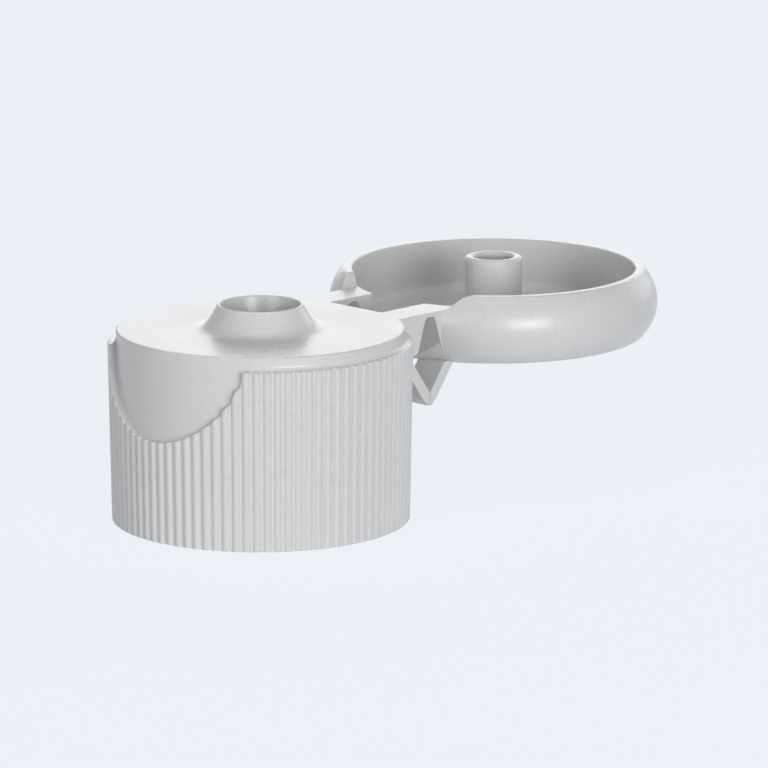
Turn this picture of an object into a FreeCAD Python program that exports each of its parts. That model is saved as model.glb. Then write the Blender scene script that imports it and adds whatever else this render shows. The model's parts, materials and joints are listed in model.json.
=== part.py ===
"""Flip top cap for a 28 mm bottle neck, drawn as it leaves the mould: lid open, mouth up.

Millimetres. The origin is the centre of the base's bottom edge, +Z up, the thumb scoop
faces -Y and the lid lies open towards +Y. The whole cap is one polypropylene moulding.
It is split only where its film hinges bend, so each stretch that turns is a solid.
"""
import FreeCAD, Part
import math
import os

# ---- base: skirt, collar and deck ----
DECK_Z = 21.65            # height of the deck, and of the lid's hinge line
COLLAR_R = 16.05          # plain collar that the closed lid's rim fits over
COLLAR_H = 1.5            # deck above the shoulder
SKIRT_R_TOP = 17.0        # over the rib crests, at the shoulder
SKIRT_R_BOTTOM = 16.65    # over the rib crests, at the bottom edge
RIB_COUNT = 90
RIB_DEPTH = 0.30
RIB_SHARE = 0.74          # share of the pitch that the rounded crest takes
SHOULDER_FILLET = 0.5     # hollow corner between collar and shoulder
SHOULDER_EDGE_R = 0.36    # the ribs' upper ends are rounded
DECK_EDGE_R = 0.15
BOTTOM_EDGE_R = 0.4
DECK_T = 1.6
BORE_R = 14.0             # root of the neck thread
BORE_TOP_R = 13.8         # plain land above the thread
BORE_LEAD_IN = 0.4
BORE_CLEARANCE = 0.6      # end of the thread's bore to the seal
SEAL_R = 10.9             # plug seal that enters the bottle's mouth
SEAL_T = 0.9
SEAL_DEPTH = 3.1
SEAL_BEAD_RISE = 0.8      # widest place of the seal, above its lower end
SEAL_TAPER = 0.2          # the seal is this much slimmer at the ceiling
SEAL_LEAD_IN = 0.35

# ---- base: thumb scoop ----
SCOOP_HALF_W = 10.75      # half width at the deck
SCOOP_DEPTH = 10.3        # lowest point of its oval outline, below the deck

# ---- base: nozzle ----
NOZZLE_H = 2.68           # lip above the deck
NOZZLE_LIP_R = 4.44       # inside of the lip
NOZZLE_LIP_T = 0.38
NOZZLE_CONE = 30.0        # slope of the outside below the lip, from upright
NOZZLE_FOOT_R = 7.6       # where the flare leaves the deck
ORIFICE_T = 0.9           # wall of the tube below the deck
ORIFICE_DEPTH = 3.3       # lower end of that tube, below the deck
ORIFICE_LAND = 1.2        # length of its straight stretch

# ---- lid ----
LID_RIM_R = 16.28         # inside of the rim
LID_RIM_GAP = 0.07        # rim to shoulder when the lid is shut
LID_INNER_TAPER = 0.2     # the wall closes in by this much at the floor
LID_BULGE_R = 5.25        # radius of the barrel-shaped outside
LID_WIDEST_R = 18.9
LID_WIDEST_Z = -2.4       # from the hinge line
LID_TOP_Z = -6.4          # outside face of the top panel, from the hinge line
LID_PANEL_T = 1.7
LID_CORNER_R = 1.5
LID_RIM_ROUND = 0.4
LID_RIM_INNER_ROUND = 0.2
LID_FLOOR_FILLET = 1.2
PLUG_R = 3.3
PLUG_HOLE_R = 2.2
PLUG_TIP = 2.7            # above the hinge line
PLUG_ROUND = 0.42
PLUG_FOOT_FILLET = 0.5
PLUG_HOLE_FLOOR_T = 0.6
PLUG_CLEARANCE = 0.12     # plug to orifice, each side

# ---- hinge ----
HINGE_INSET = 0.1         # film line, inside the lid's widest radius
STRAP_IN = 4.08           # straps lie between these two distances from the middle
STRAP_OUT = 8.05
FILM_T = 0.45
NOTCH_HALF = 0.85         # half width of the notch under the film, at its round top
NOTCH_ROUND_DROP = 0.45   # height of that round top
NOTCH_DEPTH = 3.75
NOTCH_FOOT_HALF = 1.75
NOTCH_FLARE = 0.85        # the notch's foot curves out into the wall
REAR_FLAT_Y = 15.0        # flat at the back of the base
REAR_FLAT_DROP = 12.0     # lower end of the flat, below the deck
REAR_FLAT_RUN_OUT = 2.6
WINDOW_DROP = 2.6         # the lid's wall between the straps ends this far below them
RAMP_RUN = 1.6            # length of the S-shaped ramp from a strap up to the rim
NOSE_Y = 1.55             # lid's lower edge stays this far behind the film line

# ---- snap spring: two V-shaped pairs of legs under the straps ----
SPRING_HALF_ANGLE = 36.0
SPRING_APEX_DROP = 9.2    # inner corner of the V, below the hinge line
SPRING_T = 1.26
SPRING_TIP_DROP = 10.65   # rounded bottom of the V
SPRING_TIP_ROUND = 0.5
SPRING_SPLIT = 0.03       # each leg stops this far from the middle of the V
SPRING_ROOT_CLEARANCE = 0.06
SPRING_ROOT_TOP = 5.0     # upper end of the base leg's root, below the hinge line
LID_ROOT_TOP = 6.0        # the same for the lid's leg

JOIN = 0.5                # pieces that fuse reach this far into each other

SHOULDER_Z = DECK_Z - COLLAR_H
CEILING_Z = DECK_Z - DECK_T
SEAL_END_Z = CEILING_Z - SEAL_DEPTH
BORE_TOP_Z = SEAL_END_Z - BORE_CLEARANCE
HINGE_Y = LID_WIDEST_R - HINGE_INSET
LID_Y = 2 * HINGE_Y       # axis of the open lid
STRAP_ROOT = HINGE_Y - math.sqrt(COLLAR_R ** 2 - STRAP_OUT ** 2) + JOIN / 2
WALL_REACH = HINGE_Y - (LID_RIM_R + PLUG_R) / 2     # film line to half way from lid wall to plug
ORIFICE_R = PLUG_R + PLUG_CLEARANCE
RIM_H = COLLAR_H - LID_RIM_GAP
LID_FLOOR = LID_TOP_Z + LID_PANEL_T
FAR = 60.0                # longer than anything it has to cut

X_AXIS = FreeCAD.Vector(1, 0, 0)
Z_AXIS = FreeCAD.Vector(0, 0, 1)


# ---- drawing helpers ----

def section(start, steps, axis_y=0.0, base_z=0.0):
    """Face in the (radius, height) plane: a step is a point, or two for an arc through the first."""
    def at(point):
        return FreeCAD.Vector(0, axis_y - point[0], base_z + point[1])
    edges = []
    here = start
    for step in steps + [start]:
        if isinstance(step[0], tuple):
            middle, end = step
            edges.append(Part.Arc(at(here), at(middle), at(end)).toShape())
            here = end
        elif step != here:
            edges.append(Part.makeLine(at(here), at(step)))
            here = step
    return Part.Face(Part.Wire(edges))


def turned(face, axis_y=0.0):
    """Solid of revolution of a face about the upright line at y = axis_y."""
    return face.revolve(FreeCAD.Vector(0, axis_y, 0), Z_AXIS, 360)


def slab(points, x_from, x_to):
    """Prism along X of a closed outline; points are (y from the film line, z from the deck)."""
    corners = [FreeCAD.Vector(x_from, HINGE_Y + y, DECK_Z + z) for y, z in points]
    face = Part.Face(Part.makePolygon(corners + corners[:1]))
    return face.extrude(X_AXIS * (x_to - x_from))


def box(x_from, x_to, y_from, y_to, z_from, z_to):
    """Box from its limits, y and z measured from the hinge line."""
    corner = FreeCAD.Vector(x_from, HINGE_Y + y_from, DECK_Z + z_from)
    return Part.makeBox(x_to - x_from, y_to - y_from, z_to - z_from, corner)


def both_sides(solid):
    """A solid and its mirror image across the middle of the cap."""
    return [solid, solid.mirror(FreeCAD.Vector(0, 0, 0), X_AXIS)]


def quarter(centre, radius, from_deg, to_deg):
    """Arc step about a centre: its middle point and its end."""
    def at(degrees):
        angle = math.radians(degrees)
        return (centre[0] + radius * math.cos(angle), centre[1] + radius * math.sin(angle))
    return (at((from_deg + to_deg) / 2), at(to_deg))


# ---- base ----

def rib_wire(crest_r, z):
    """Outline across the skirt: rounded ribs with narrow flat roots between them."""
    pitch = 2 * math.pi / RIB_COUNT
    half = RIB_SHARE * pitch / 2
    root_r = crest_r - RIB_DEPTH

    def at(radius, angle):
        return FreeCAD.Vector(radius * math.sin(angle), -radius * math.cos(angle), z)
    edges = []
    for i in range(RIB_COUNT):
        middle = i * pitch
        rise = at(root_r, middle - half)
        fall = at(root_r, middle + half)
        edges.append(Part.Arc(rise, at(crest_r, middle), fall).toShape())
        edges.append(Part.makeLine(fall, at(root_r, middle + pitch - half)))
    return Part.Wire(edges)


def skirt():
    """Ribbed grip: a slightly tapered ring, rounded at its bottom edge."""
    ribbed = Part.makeLoft([rib_wire(SKIRT_R_BOTTOM, 0), rib_wire(SKIRT_R_TOP, SHOULDER_Z)], True, True)
    low = SKIRT_R_BOTTOM - RIB_DEPTH
    high = SKIRT_R_TOP - RIB_DEPTH
    edge = BOTTOM_EDGE_R
    shoulder = SHOULDER_EDGE_R
    envelope = turned(section((0, 0), [
        (low, 0),
        quarter((low, edge), edge, -90, 0),
        (high + shoulder, SHOULDER_Z - shoulder),
        quarter((high, SHOULDER_Z - shoulder), shoulder, 0, 90),
        (0, SHOULDER_Z)]))
    ring = ribbed.common(envelope)
    return ring.cut(Part.makeCylinder(COLLAR_R - JOIN, FAR))


def shoulder_fillet():
    """Hollow corner where the collar rises from the shoulder."""
    r = SHOULDER_FILLET
    low = SHOULDER_Z - JOIN
    return turned(section((COLLAR_R - JOIN, low), [
        (COLLAR_R + r, low),
        (COLLAR_R + r, SHOULDER_Z),
        quarter((COLLAR_R + r, SHOULDER_Z + r), r, 270, 180),
        (COLLAR_R - JOIN, SHOULDER_Z + r)]))


def scoop():
    """Thumb scoop: takes the ribs off down to the collar's own surface, inside an oval outline."""
    middle = FreeCAD.Vector(0, 0, DECK_Z)
    side = FreeCAD.Vector(SCOOP_HALF_W, 0, DECK_Z)
    top = FreeCAD.Vector(0, 0, DECK_Z + SCOOP_DEPTH)
    if SCOOP_HALF_W >= SCOOP_DEPTH:
        oval = Part.Ellipse(side, top, middle)
    else:
        oval = Part.Ellipse(top, side, middle)
    face = Part.Face(Part.Wire([oval.toShape()]))
    return face.extrude(FreeCAD.Vector(0, -FAR, 0)).cut(Part.makeCylinder(COLLAR_R, FAR))


def nozzle_outside():
    """Outside of the nozzle from the deck up: a flare, a cone and the rounded lip."""
    lip_round = NOZZLE_LIP_T / 2
    lip_z = DECK_Z + NOZZLE_H - lip_round
    lip_r = NOZZLE_LIP_R + NOZZLE_LIP_T
    slope = math.radians(NOZZLE_CONE)
    # the flare's arc touches both the deck and the cone
    reach = (NOZZLE_FOOT_R - lip_r) * math.cos(slope) - (lip_z - DECK_Z) * math.sin(slope)
    flare = reach / (1 - math.sin(slope))
    return [
        (NOZZLE_FOOT_R, DECK_Z),
        quarter((NOZZLE_FOOT_R, DECK_Z + flare), flare, 270, 180 + NOZZLE_CONE),
        (lip_r, lip_z),
        quarter((NOZZLE_LIP_R + lip_round, lip_z), lip_round, 0, 180)]


def seal():
    """Plug seal from its root inside to its root outside, with a rounded bead near its end."""
    inside = SEAL_R - SEAL_T
    end_round = SEAL_T / 3
    return [
        (inside, CEILING_Z),
        (inside, SEAL_END_Z + end_round),
        quarter((inside + end_round, SEAL_END_Z + end_round), end_round, 180, 270),
        (SEAL_R - SEAL_LEAD_IN, SEAL_END_Z),
        (SEAL_R, SEAL_END_Z + SEAL_BEAD_RISE),
        (SEAL_R - SEAL_TAPER, CEILING_Z)]


def core():
    """Collar, deck, nozzle, plug seal and the plain bore for the bottle's neck."""
    edge = DECK_EDGE_R
    tube_r = ORIFICE_R + ORIFICE_T
    tube_z = DECK_Z - ORIFICE_DEPTH
    steps = [
        (COLLAR_R, BORE_LEAD_IN),
        (COLLAR_R, DECK_Z - edge),
        quarter((COLLAR_R - edge, DECK_Z - edge), edge, 0, 90)]
    steps += nozzle_outside()
    steps += [
        (ORIFICE_R, tube_z + ORIFICE_LAND),
        (ORIFICE_R, tube_z),
        (tube_r, tube_z),
        (tube_r, CEILING_Z)]
    steps += seal()
    steps += [
        (BORE_TOP_R, CEILING_Z),
        (BORE_TOP_R, BORE_TOP_Z),
        (BORE_R, BORE_TOP_Z),
        (BORE_R, BORE_LEAD_IN),
        (BORE_R + BORE_LEAD_IN, 0)]
    return turned(section((COLLAR_R - JOIN, 0), steps))


def notch_side():
    """Side of the notch from the film line to its foot, as (distance from the line, drop)."""
    side = [(0.0, FILM_T)]
    for degrees in (30, 60, 90):
        angle = math.radians(degrees)
        side.append((NOTCH_HALF * math.sin(angle), FILM_T + NOTCH_ROUND_DROP * (1 - math.cos(angle))))
    return side + [(NOTCH_FOOT_HALF, NOTCH_DEPTH)]


def strap(side, reach):
    """Strap from the film line into a wall; side is -1 for the base's half, 1 for the lid's."""
    outline = notch_side()
    for degrees in (35, 65, 90):
        angle = math.radians(degrees)
        outline.append((NOTCH_FOOT_HALF + NOTCH_FLARE * (1 - math.cos(angle)),
                        NOTCH_DEPTH + NOTCH_FLARE * math.sin(angle)))
    outline += [(reach, NOTCH_DEPTH + NOTCH_FLARE), (reach, 0), (0, 0)]
    return slab([(side * y, -drop) for y, drop in outline], STRAP_IN, STRAP_OUT)


def rear_flat():
    """Flat at the back of the base that the spring's legs and the straps start from."""
    y = REAR_FLAT_Y - HINGE_Y
    run_out = -REAR_FLAT_DROP
    return slab([(y, 1), (y, run_out), (y + REAR_FLAT_RUN_OUT, run_out - REAR_FLAT_RUN_OUT),
                 (FAR, run_out - REAR_FLAT_RUN_OUT), (FAR, 1)], -FAR, FAR)


def cap_base():
    """Base of the cap: grip, shoulder, deck, nozzle and the base half of the straps."""
    grip = skirt().fuse(shoulder_fillet()).cut(scoop())
    body = core().fuse(grip)
    body = body.cut(rear_flat())
    straps = both_sides(strap(-1, STRAP_ROOT))
    return body.fuse(straps).removeSplitter()


# ---- lid ----

def line_to_bulge(height, radius, upward):
    """Round between a level line and the bulge: centre, and the angle where the bulge starts."""
    centre_r = LID_WIDEST_R - LID_BULGE_R
    centre_z = height - radius if upward else height + radius
    rise = centre_z - LID_WIDEST_Z
    run = math.sqrt((LID_BULGE_R - radius) ** 2 - rise ** 2)
    return (centre_r + run, centre_z), math.degrees(math.atan2(rise, run))


def bowl_outside(grow=0.0):
    """Outside of the bowl as section steps, from the middle of the panel to the rim's land."""
    corner, low = line_to_bulge(LID_TOP_Z, LID_CORNER_R, False)
    rim, high = line_to_bulge(RIM_H, LID_RIM_ROUND, True)
    bulge = (LID_WIDEST_R - LID_BULGE_R, LID_WIDEST_Z)
    return [
        (corner[0], LID_TOP_Z - grow),
        quarter(corner, LID_CORNER_R + grow, -90, low),
        quarter(bulge, LID_BULGE_R + grow, low, high),
        quarter(rim, LID_RIM_ROUND + grow, high, 90)]


def cavity_steps():
    """Inside of the bowl from the rim's land to the foot of the plug."""
    taper = LID_INNER_TAPER
    fillet = LID_FLOOR_FILLET
    edge = LID_RIM_INNER_ROUND
    floor_r = LID_RIM_R - taper
    return [
        (LID_RIM_R + edge, RIM_H),
        quarter((LID_RIM_R + edge, RIM_H - edge), edge, 90, 180),
        (floor_r, LID_FLOOR + fillet),
        quarter((floor_r - fillet, LID_FLOOR + fillet), fillet, 0, -90)]


def plug_steps():
    """Hollow plug that closes the nozzle, from its foot to the bottom of its hole."""
    foot = PLUG_FOOT_FILLET
    edge = PLUG_ROUND
    hole_floor = LID_TOP_Z + PLUG_HOLE_FLOOR_T
    return [
        (PLUG_R + foot, LID_FLOOR),
        quarter((PLUG_R + foot, LID_FLOOR + foot), foot, 270, 180),
        (PLUG_R, PLUG_TIP - edge),
        quarter((PLUG_R - edge, PLUG_TIP - edge), edge, 0, 90),
        (PLUG_HOLE_R + edge, PLUG_TIP),
        quarter((PLUG_HOLE_R + edge, PLUG_TIP - edge), edge, 90, 180),
        (PLUG_HOLE_R, hole_floor),
        (0, hole_floor)]


def bowl():
    """Bowl of the lid with its plug, mouth up."""
    steps = bowl_outside() + cavity_steps() + plug_steps()
    return turned(section((0, LID_TOP_Z), steps, LID_Y, DECK_Z), LID_Y)


def bowl_cavity():
    """Space inside the bowl, with nothing standing in it."""
    above = RIM_H + JOIN
    steps = [(LID_RIM_R, above)] + cavity_steps()[1:] + [(0, LID_FLOOR)]
    return turned(section((0, above), steps, LID_Y, DECK_Z), LID_Y)


def notch_cut():
    """Opens the bowl's side up to the notch and the flat nose below it, across both straps."""
    outline = [(y, -drop) for y, drop in notch_side()]
    outline += [(NOSE_Y, -NOTCH_DEPTH - NOTCH_FLARE), (NOSE_Y, -FAR), (-FAR, -FAR), (-FAR, -FILM_T)]
    return slab(outline, -STRAP_OUT, STRAP_OUT)


def rim_cut():
    """Takes the rim down to the straps' level, with an S-shaped ramp at each end."""
    ramp = []
    for share in (0.0, 0.15, 0.3, 0.45, 0.6, 0.75, 0.9, 1.0):
        smooth = share * share * (3 - 2 * share)
        ramp.append((STRAP_OUT + RAMP_RUN * share, RIM_H * smooth))
    ramp.append((STRAP_OUT + RAMP_RUN, RIM_H + JOIN))
    outline = ramp + [(-x, z) for x, z in reversed(ramp)]
    corners = [FreeCAD.Vector(x, HINGE_Y, DECK_Z + z) for x, z in outline]
    face = Part.Face(Part.makePolygon(corners + corners[:1]))
    return face.extrude(FreeCAD.Vector(0, WALL_REACH, 0))


def lid():
    """Lid with the lid half of the straps."""
    window = box(-STRAP_IN, STRAP_IN, -JOIN, WALL_REACH, -WINDOW_DROP, RIM_H + JOIN)
    shell = bowl().cut([notch_cut(), rim_cut()])
    straps = [piece.cut(bowl_cavity()) for piece in both_sides(strap(1, WALL_REACH))]
    return shell.fuse(straps).cut(window).removeSplitter()


# ---- snap spring ----

def leg_outline(top):
    """One leg of the V on the base's side, as points from the hinge line; top is its root's level."""
    slope = math.tan(math.radians(SPRING_HALF_ANGLE))
    level_t = SPRING_T / math.cos(math.radians(SPRING_HALF_ANGLE))
    low = -SPRING_TIP_DROP
    inner_apex = -SPRING_APEX_DROP
    outer_apex = inner_apex - level_t / slope
    flat = (low - outer_apex) * slope
    root = REAR_FLAT_Y - HINGE_Y + SPRING_ROOT_CLEARANCE

    def outer_z(y):
        return outer_apex - y / slope

    def inner_y(z):
        return -(z - inner_apex) * slope
    split = -SPRING_SPLIT
    return [(split, inner_apex), (inner_y(-top), -top), (root, -top), (root, outer_z(root)),
            (-flat - SPRING_TIP_ROUND, outer_z(-flat - SPRING_TIP_ROUND)),
            (-flat + SPRING_TIP_ROUND * 0.5, low), (split, low)]


def base_leg():
    """Spring leg that grows from the flat at the back of the base."""
    return slab(leg_outline(SPRING_ROOT_TOP), STRAP_IN, STRAP_OUT)


def lid_leg():
    """Spring leg that grows from the underside of the lid."""
    outline = [(-y, z) for y, z in leg_outline(LID_ROOT_TOP)]
    steps = bowl_outside(SPRING_ROOT_CLEARANCE) + [(0, RIM_H)]
    outside = turned(section((0, LID_TOP_Z - SPRING_ROOT_CLEARANCE), steps, LID_Y, DECK_Z), LID_Y)
    return slab(outline, STRAP_IN, STRAP_OUT).cut(outside)


def save(node, shape):
    """Write one piece, and say what was written."""
    shape.exportStep("parts/%s.step" % node)
    print("%-24s solids %d  volume %.1f mm3" % (node, len(shape.Solids), shape.Volume))


def main():
    """Build and write every piece."""
    os.makedirs("parts", exist_ok=True)
    save("cap_base", cap_base())
    save("lid", lid())
    for name, leg in (("base", base_leg()), ("lid", lid_leg())):
        right, left = both_sides(leg)
        save("spring_leg_%s_right" % name, right)
        save("spring_leg_%s_left" % name, left)


main()
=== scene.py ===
"""Flip top cap: moulded finish, neck thread and a plain pale studio."""
import json
import math

import bmesh
import bpy
from bpy.props import FloatProperty, FloatVectorProperty, IntProperty, PointerProperty, StringProperty
from mathutils import Matrix, Vector


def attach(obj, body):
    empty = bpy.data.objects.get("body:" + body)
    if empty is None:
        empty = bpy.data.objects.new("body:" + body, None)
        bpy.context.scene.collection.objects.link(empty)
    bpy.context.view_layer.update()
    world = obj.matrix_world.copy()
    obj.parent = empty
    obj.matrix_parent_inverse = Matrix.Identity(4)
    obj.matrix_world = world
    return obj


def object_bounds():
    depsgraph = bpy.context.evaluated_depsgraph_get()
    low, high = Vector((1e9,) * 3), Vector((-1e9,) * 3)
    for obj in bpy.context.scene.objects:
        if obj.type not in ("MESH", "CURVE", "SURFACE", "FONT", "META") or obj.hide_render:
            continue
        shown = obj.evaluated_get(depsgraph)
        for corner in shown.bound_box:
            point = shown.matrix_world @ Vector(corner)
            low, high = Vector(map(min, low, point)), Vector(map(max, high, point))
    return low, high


bl_info = {
    "name": "Flip Top Cap",
    "version": (1, 0, 0),
    "blender": (4, 5, 0),
    "location": "View3D > Sidebar > Flip Top Cap",
    "description": "Dresses a moulded flip top cap and sets it on a plain pale stage",
    "category": "Object",
}

MM = 0.001

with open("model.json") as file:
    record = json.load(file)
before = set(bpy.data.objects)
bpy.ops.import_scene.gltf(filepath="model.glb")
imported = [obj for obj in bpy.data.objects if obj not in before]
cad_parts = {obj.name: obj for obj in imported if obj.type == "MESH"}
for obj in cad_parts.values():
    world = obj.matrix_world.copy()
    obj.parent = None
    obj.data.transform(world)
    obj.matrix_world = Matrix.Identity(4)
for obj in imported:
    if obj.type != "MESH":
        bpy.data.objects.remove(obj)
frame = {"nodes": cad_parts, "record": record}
CAD_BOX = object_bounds()
NECK = next(m for m in frame["record"]["mounts"] if m["name"] == "neck_thread")
NECK_R = NECK["dims"]["r_mm"] * MM
NECK_LENGTH = NECK["dims"]["length_mm"] * MM
NECK_START = NECK["pos_m"][2]


GLOSS_SPREAD = 0.015       # roughness rises and falls by this much across the flow clouds
THREAD_SUNK = 0.15 * MM    # the ridge's foot reaches this far into the wall
THREAD_DROP = 1.5 * MM     # the thread's end stays this far below the top of its bore
THREAD_FADE = 6            # the ridge grows to its full height within a sixth of a turn


# ---- colour and node helpers ----

def linear(hex_colour):
    """sRGB hex value as a linear RGBA colour."""
    digits = hex_colour.lstrip("#")
    parts = [int(digits[i:i + 2], 16) / 255 for i in (0, 2, 4)]
    return [c / 12.92 if c <= 0.04045 else ((c + 0.055) / 1.055) ** 2.4 for c in parts] + [1.0]


def add_node(tree, kind, inputs=None, **settings):
    """Add a node, set its attributes, and set or link its inputs by name or number."""
    made = tree.nodes.new(kind)
    for key, value in settings.items():
        setattr(made, key, value)
    for key, value in (inputs or {}).items():
        if isinstance(value, bpy.types.NodeSocket):
            tree.links.new(value, made.inputs[key])
        else:
            made.inputs[key].default_value = value
    return made


def empty_material(name):
    """New material with nothing in its node tree."""
    material = bpy.data.materials.new(name)
    material.use_nodes = True
    material.node_tree.nodes.clear()
    return material


# ---- settings ----

class CapFinish(bpy.types.PropertyGroup):
    """The look of the moulded plastic."""
    colour: StringProperty(
        name="Colour", description="Colour of the plastic, as sRGB hex", default="#DEDEDE")
    roughness: FloatProperty(
        name="Roughness", description="Roughness of the satin mould finish", default=0.28, min=0, max=1,
        subtype="FACTOR")
    grain: FloatProperty(
        name="Grain", description="Grain size of the mould's finish", default=0.25 * MM, unit="LENGTH",
        precision=6)
    grain_depth: FloatProperty(
        name="Grain depth", description="Depth of the mould's grain", default=0.002 * MM, unit="LENGTH",
        precision=6)
    flow: FloatProperty(
        name="Flow marks", description="Size of the cloudy gloss changes left by the plastic's flow",
        default=6 * MM, unit="LENGTH", precision=5)


class NeckThread(bpy.types.PropertyGroup):
    """The ridge that screws onto the bottle."""
    pitch: FloatProperty(
        name="Pitch", description="Rise of the thread in one turn", default=4.23 * MM, unit="LENGTH",
        precision=5)
    turns: FloatProperty(name="Turns", description="Length of the thread in turns", default=1.6)
    depth: FloatProperty(
        name="Depth", description="Height of the ridge above the bore", default=1.0 * MM, unit="LENGTH",
        precision=5)
    foot: FloatProperty(
        name="Foot width", description="Width of the ridge where it meets the bore", default=2.2 * MM,
        unit="LENGTH", precision=5)
    steps: IntProperty(name="Steps", description="Sections in one turn", default=120)


class Studio(bpy.types.PropertyGroup):
    """Camera, lamps and floor."""
    azimuth: FloatProperty(
        name="Azimuth", description="Side that the camera looks from; 0 looks along +Y",
        default=math.radians(44.46), subtype="ANGLE")
    elevation: FloatProperty(
        name="Elevation", description="Height of the camera's view", default=math.radians(12.58),
        subtype="ANGLE")
    distance: FloatProperty(
        name="Distance", description="Camera to the point it looks at", default=707.3 * MM, unit="LENGTH")
    aim: FloatVectorProperty(
        name="Aim", description="Point that the camera looks at",
        default=(0.605 * MM, 18.985 * MM, 12.255 * MM), unit="LENGTH", precision=5)
    lens: FloatProperty(name="Lens", description="Focal length in millimetres", default=292.35)
    floor_colour: StringProperty(
        name="Floor colour", description="Colour of the floor, as sRGB hex", default="#EFF4FA")
    floor_size: FloatProperty(
        name="Floor size", description="Side of the square floor", default=6.0, unit="LENGTH")
    floor_glow: FloatProperty(
        name="Floor glow", description="Share of the floor that shows its own colour, unshaded",
        default=0.93, min=0, max=1, subtype="FACTOR")
    ambient: FloatProperty(
        name="Ambient", description="Strength of the even light from all around", default=0.15)
    key: FloatProperty(
        name="Key", description="Power of the low lamp in front, to the right", default=3.3, unit="POWER")
    fill: FloatProperty(
        name="Fill", description="Power of the lamp in front, to the left", default=1.05, unit="POWER")
    back: FloatProperty(
        name="Back", description="Power of the lamp behind, which the flat tops mirror", default=1.2,
        unit="POWER")
    rim: FloatProperty(
        name="Rim", description="Power of the lamp behind, to the right", default=0.5, unit="POWER")
    overhead: FloatProperty(
        name="Overhead", description="Power of the lamp above", default=1.0, unit="POWER")


# ---- materials ----

def moulded_polypropylene(finish):
    """Moulded polypropylene: milky and satin, with a fine spark-eroded grain and faint flow clouds."""
    # the grain softens highlights a little, and flat tops still mirror what is behind them at a low angle
    material = empty_material("polypropylene_moulded_satin")
    tree = material.node_tree
    place = add_node(tree, "ShaderNodeTexCoord")
    clouds = add_node(tree, "ShaderNodeTexNoise", {
        "Vector": place.outputs["Object"],
        "Scale": 1 / finish.flow,
        "Detail": 3.0,
        "Roughness": 0.5})
    gloss = add_node(tree, "ShaderNodeMapRange", {
        "Value": clouds.outputs["Fac"],
        "From Min": 0.3,
        "From Max": 0.7,
        "To Min": finish.roughness - GLOSS_SPREAD,
        "To Max": finish.roughness + GLOSS_SPREAD})
    grain = add_node(tree, "ShaderNodeTexNoise", {
        "Vector": place.outputs["Object"],
        "Scale": 1 / finish.grain,
        "Detail": 2.0,
        "Roughness": 0.6})
    bump = add_node(tree, "ShaderNodeBump", {
        "Height": grain.outputs["Fac"],
        "Strength": 0.2,
        "Distance": finish.grain_depth})
    shader = add_node(tree, "ShaderNodeBsdfPrincipled", {
        "Base Color": linear(finish.colour),
        "Roughness": gloss.outputs["Result"],
        "IOR": 1.49,
        "Normal": bump.outputs["Normal"]})
    add_node(tree, "ShaderNodeOutputMaterial", {"Surface": shader.outputs["BSDF"]})
    return material


def seen_directly(tree):
    """1 for rays that show a thing itself: to the camera, in a gloss or through a clear part."""
    path = add_node(tree, "ShaderNodeLightPath")
    either = add_node(tree, "ShaderNodeMath", {
        0: path.outputs["Is Camera Ray"],
        1: path.outputs["Is Glossy Ray"]}, operation="MAXIMUM")
    any_of = add_node(tree, "ShaderNodeMath", {
        0: either.outputs["Value"],
        1: path.outputs["Is Transmission Ray"]}, operation="MAXIMUM")
    return any_of.outputs["Value"]


def soft_sky(studio):
    """World that gives an even light, and is seen as the floor's own pale colour."""
    world = bpy.data.worlds.new("stage_world")
    world.use_nodes = True
    tree = world.node_tree
    tree.nodes.clear()
    light = add_node(tree, "ShaderNodeBackground", {"Color": linear("#FFFFFF"), "Strength": studio.ambient})
    backdrop = add_node(tree, "ShaderNodeBackground", {"Color": linear(studio.floor_colour), "Strength": 1.0})
    mixed = add_node(tree, "ShaderNodeMixShader", {
        0: seen_directly(tree),
        1: light.outputs["Background"],
        2: backdrop.outputs["Background"]})
    add_node(tree, "ShaderNodeOutputWorld", {"Surface": mixed.outputs["Shader"]})
    return world


def pale_floor(studio):
    """Matt pale floor that shows mostly its own colour to the camera, and still takes a shadow."""
    material = empty_material("stage_paper_matt")
    tree = material.node_tree
    colour = linear(studio.floor_colour)
    paper = add_node(tree, "ShaderNodeBsdfDiffuse", {"Color": colour})
    glow = add_node(tree, "ShaderNodeEmission", {"Color": colour, "Strength": 1.0})
    seen = add_node(tree, "ShaderNodeMath", {
        0: seen_directly(tree),
        1: studio.floor_glow}, operation="MULTIPLY")
    mixed = add_node(tree, "ShaderNodeMixShader", {
        0: seen.outputs["Value"],
        1: paper.outputs["BSDF"],
        2: glow.outputs["Emission"]})
    add_node(tree, "ShaderNodeOutputMaterial", {"Surface": mixed.outputs["Shader"]})
    return material


def plastic():
    """The cap's one material, made on first use."""
    found = bpy.data.materials.get("polypropylene_moulded_satin")
    return found or moulded_polypropylene(bpy.context.scene.cap_finish)


def dress(node_names):
    """Give CAD pieces the moulded finish."""
    for name in node_names:
        solid = frame["nodes"][name]
        solid.data.materials.clear()
        solid.data.materials.append(plastic())


# ---- meshes ----

def new_piece(name, mesh):
    """Object for a finished mesh, linked to the scene."""
    piece = bpy.data.objects.new(name, mesh)
    bpy.context.scene.collection.objects.link(piece)
    return piece


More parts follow.
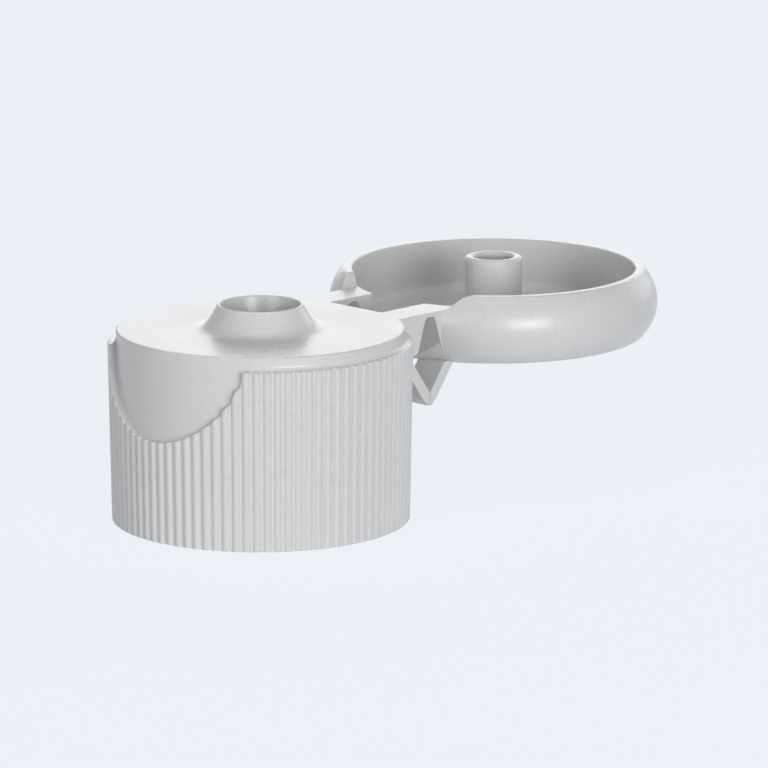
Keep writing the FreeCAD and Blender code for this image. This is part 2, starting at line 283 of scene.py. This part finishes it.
def thread_mesh(thread):
    """Helical ridge inside the bore, with ends that fade into the wall."""
    sections = int(thread.turns * thread.steps)
    top = NECK_START + NECK_LENGTH - thread.foot
    start_z = top - thread.turns * thread.pitch - THREAD_DROP
    # across the ridge: share of the width on each side of its middle, and share of its depth
    flank = [(-0.5, 0.0), (-0.42, 0.25), (-0.2, 0.92), (-0.1, 1.0)]
    across = flank + [(-side, height) for side, height in reversed(flank)]
    mesh = bmesh.new()
    rings = []
    for i in range(sections + 1):
        share = i / sections
        angle = share * thread.turns * 2 * math.pi
        fade = min(1.0, share * thread.turns * THREAD_FADE, (1 - share) * thread.turns * THREAD_FADE)
        swell = math.sin(fade * math.pi / 2)
        ring = []
        for side, height in across:
            radius = NECK_R - height * swell * thread.depth
            if height == 0:
                radius = NECK_R + THREAD_SUNK
            z = start_z + share * thread.turns * thread.pitch + side * thread.foot * (0.4 + 0.6 * swell)
            ring.append(mesh.verts.new((radius * math.cos(angle), radius * math.sin(angle), z)))
        rings.append(ring)
    for low, high in zip(rings, rings[1:]):
        for k in range(len(across)):
            following = (k + 1) % len(across)
            mesh.faces.new((low[k], low[following], high[following], high[k]))
    mesh.faces.new(rings[0])
    mesh.faces.new(list(reversed(rings[-1])))
    bmesh.ops.recalc_face_normals(mesh, faces=mesh.faces)
    for face in mesh.faces:
        face.smooth = True
    data = bpy.data.meshes.new("neck_thread_ridge")
    mesh.to_mesh(data)
    mesh.free()
    return data


# ---- operators ----

class CAP_OT_base(bpy.types.Operator):
    """Finish the base: grip, deck and nozzle"""
    bl_idname = "cap.base"
    bl_label = "Base"

    def execute(self, context):
        dress(["cap_base"])
        return {"FINISHED"}


class CAP_OT_lid(bpy.types.Operator):
    """Finish the lid and its plug"""
    bl_idname = "cap.lid"
    bl_label = "Lid"

    def execute(self, context):
        dress(["lid"])
        return {"FINISHED"}


class CAP_OT_snap_spring(bpy.types.Operator):
    """Finish the legs of the snap spring"""
    bl_idname = "cap.snap_spring"
    bl_label = "Snap spring"

    def execute(self, context):
        dress([name for name in frame["nodes"] if name.startswith("spring_leg")])
        return {"FINISHED"}


class CAP_OT_neck_thread(bpy.types.Operator):
    """Add the ridge of the neck thread inside the base"""
    bl_idname = "cap.neck_thread"
    bl_label = "Neck thread"

    def execute(self, context):
        ridge = new_piece("neck_thread_ridge", thread_mesh(context.scene.cap_thread))
        ridge.data.materials.append(plastic())
        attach(ridge, "base")
        return {"FINISHED"}


def add_lamp(name, power, size, studio, turn, rise, distance):
    """Soft square lamp: turn is in degrees to the right of the camera, rise in degrees above the floor."""
    data = bpy.data.lights.new(name, "AREA")
    data.shape = "SQUARE"
    data.size = size
    data.energy = power
    lamp = bpy.data.objects.new(name, data)
    bpy.context.scene.collection.objects.link(lamp)
    around = studio.azimuth + math.radians(turn)
    up = math.radians(rise)
    away = Vector((math.sin(around) * math.cos(up), -math.cos(around) * math.cos(up), math.sin(up)))
    lamp.location = Vector(studio.aim) + away * distance
    lamp.rotation_euler = away.to_track_quat("Z", "Y").to_euler()


class CAP_OT_stage(bpy.types.Operator):
    """Add the floor, the world's light and the lamps"""
    bl_idname = "cap.stage"
    bl_label = "Stage"

    def execute(self, context):
        studio = context.scene.cap_studio
        half = studio.floor_size / 2
        data = bpy.data.meshes.new("stage_floor")
        corners = [(-half, -half, 0), (half, -half, 0), (half, half, 0), (-half, half, 0)]
        data.from_pydata(corners, [], [(0, 1, 2, 3)])
        floor = new_piece("stage_floor", data)
        floor.location = (0, 0, CAD_BOX[0][2])
        data.materials.append(pale_floor(studio))
        context.scene.world = soft_sky(studio)
        # name, power, side, turn to the right of the camera, rise above the floor, distance
        for name, power, size, turn, rise, distance in (
                ("lamp_key", studio.key, 0.35, 25, 5, 0.7),
                ("lamp_fill", studio.fill, 0.35, -40, 10, 0.7),
                ("lamp_back", studio.back, 0.50, 180, 12, 0.8),
                ("lamp_rim", studio.rim, 0.40, 140, 15, 0.8),
                ("lamp_overhead", studio.overhead, 0.50, 0, 85, 0.8)):
            add_lamp(name, power, size, studio, turn, rise, distance)
        context.scene.view_settings.view_transform = "Standard"
        return {"FINISHED"}


class CAP_OT_camera(bpy.types.Operator):
    """Add the camera"""
    bl_idname = "cap.camera"
    bl_label = "Camera"

    def execute(self, context):
        studio = context.scene.cap_studio
        turn, rise = studio.azimuth, studio.elevation
        back = Vector((math.sin(turn) * math.cos(rise), -math.cos(turn) * math.cos(rise), math.sin(rise)))
        right = Vector((math.cos(turn), math.sin(turn), 0))
        up = back.cross(right)
        data = bpy.data.cameras.new("camera")
        data.sensor_width = 36
        data.sensor_fit = "HORIZONTAL"
        data.lens = studio.lens
        data.clip_start = 0.05
        data.clip_end = 20
        camera = bpy.data.objects.new("camera", data)
        context.scene.collection.objects.link(camera)
        look = Matrix((right, up, back)).transposed().to_4x4()
        camera.matrix_world = Matrix.Translation(Vector(studio.aim) + back * studio.distance) @ look
        context.scene.camera = camera
        return {"FINISHED"}


class CAP_PT_panel(bpy.types.Panel):
    """Sidebar panel with the cap's pieces and settings"""
    bl_label = "Flip Top Cap"
    bl_idname = "CAP_PT_panel"
    bl_space_type = "VIEW_3D"
    bl_region_type = "UI"
    bl_category = "Flip Top Cap"

    def draw(self, context):
        layout = self.layout
        for operator in OPERATORS:
            layout.operator(operator.bl_idname)
        for group_name in GROUPS:
            group = getattr(context.scene, group_name)
            box = layout.box()
            for setting in group.__annotations__:
                box.prop(group, setting)


OPERATORS = (CAP_OT_base, CAP_OT_lid, CAP_OT_snap_spring, CAP_OT_neck_thread, CAP_OT_stage, CAP_OT_camera)
GROUPS = {"cap_finish": CapFinish, "cap_thread": NeckThread, "cap_studio": Studio}


def register():
    """Register the settings, operators and panel."""
    for group_name, group in GROUPS.items():
        bpy.utils.register_class(group)
        setattr(bpy.types.Scene, group_name, PointerProperty(type=group))
    for made in OPERATORS + (CAP_PT_panel,):
        bpy.utils.register_class(made)


def unregister():
    """Take them all away again."""
    for made in reversed(OPERATORS + (CAP_PT_panel,)):
        bpy.utils.unregister_class(made)
    for group_name, group in GROUPS.items():
        delattr(bpy.types.Scene, group_name)
        bpy.utils.unregister_class(group)


def main():
    """Dress the cap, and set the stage."""
    register()
    bpy.ops.cap.base()
    bpy.ops.cap.lid()
    bpy.ops.cap.snap_spring()
    bpy.ops.cap.neck_thread()
    bpy.ops.cap.stage()
    bpy.ops.cap.camera()


if __name__ == "__main__":
    main()
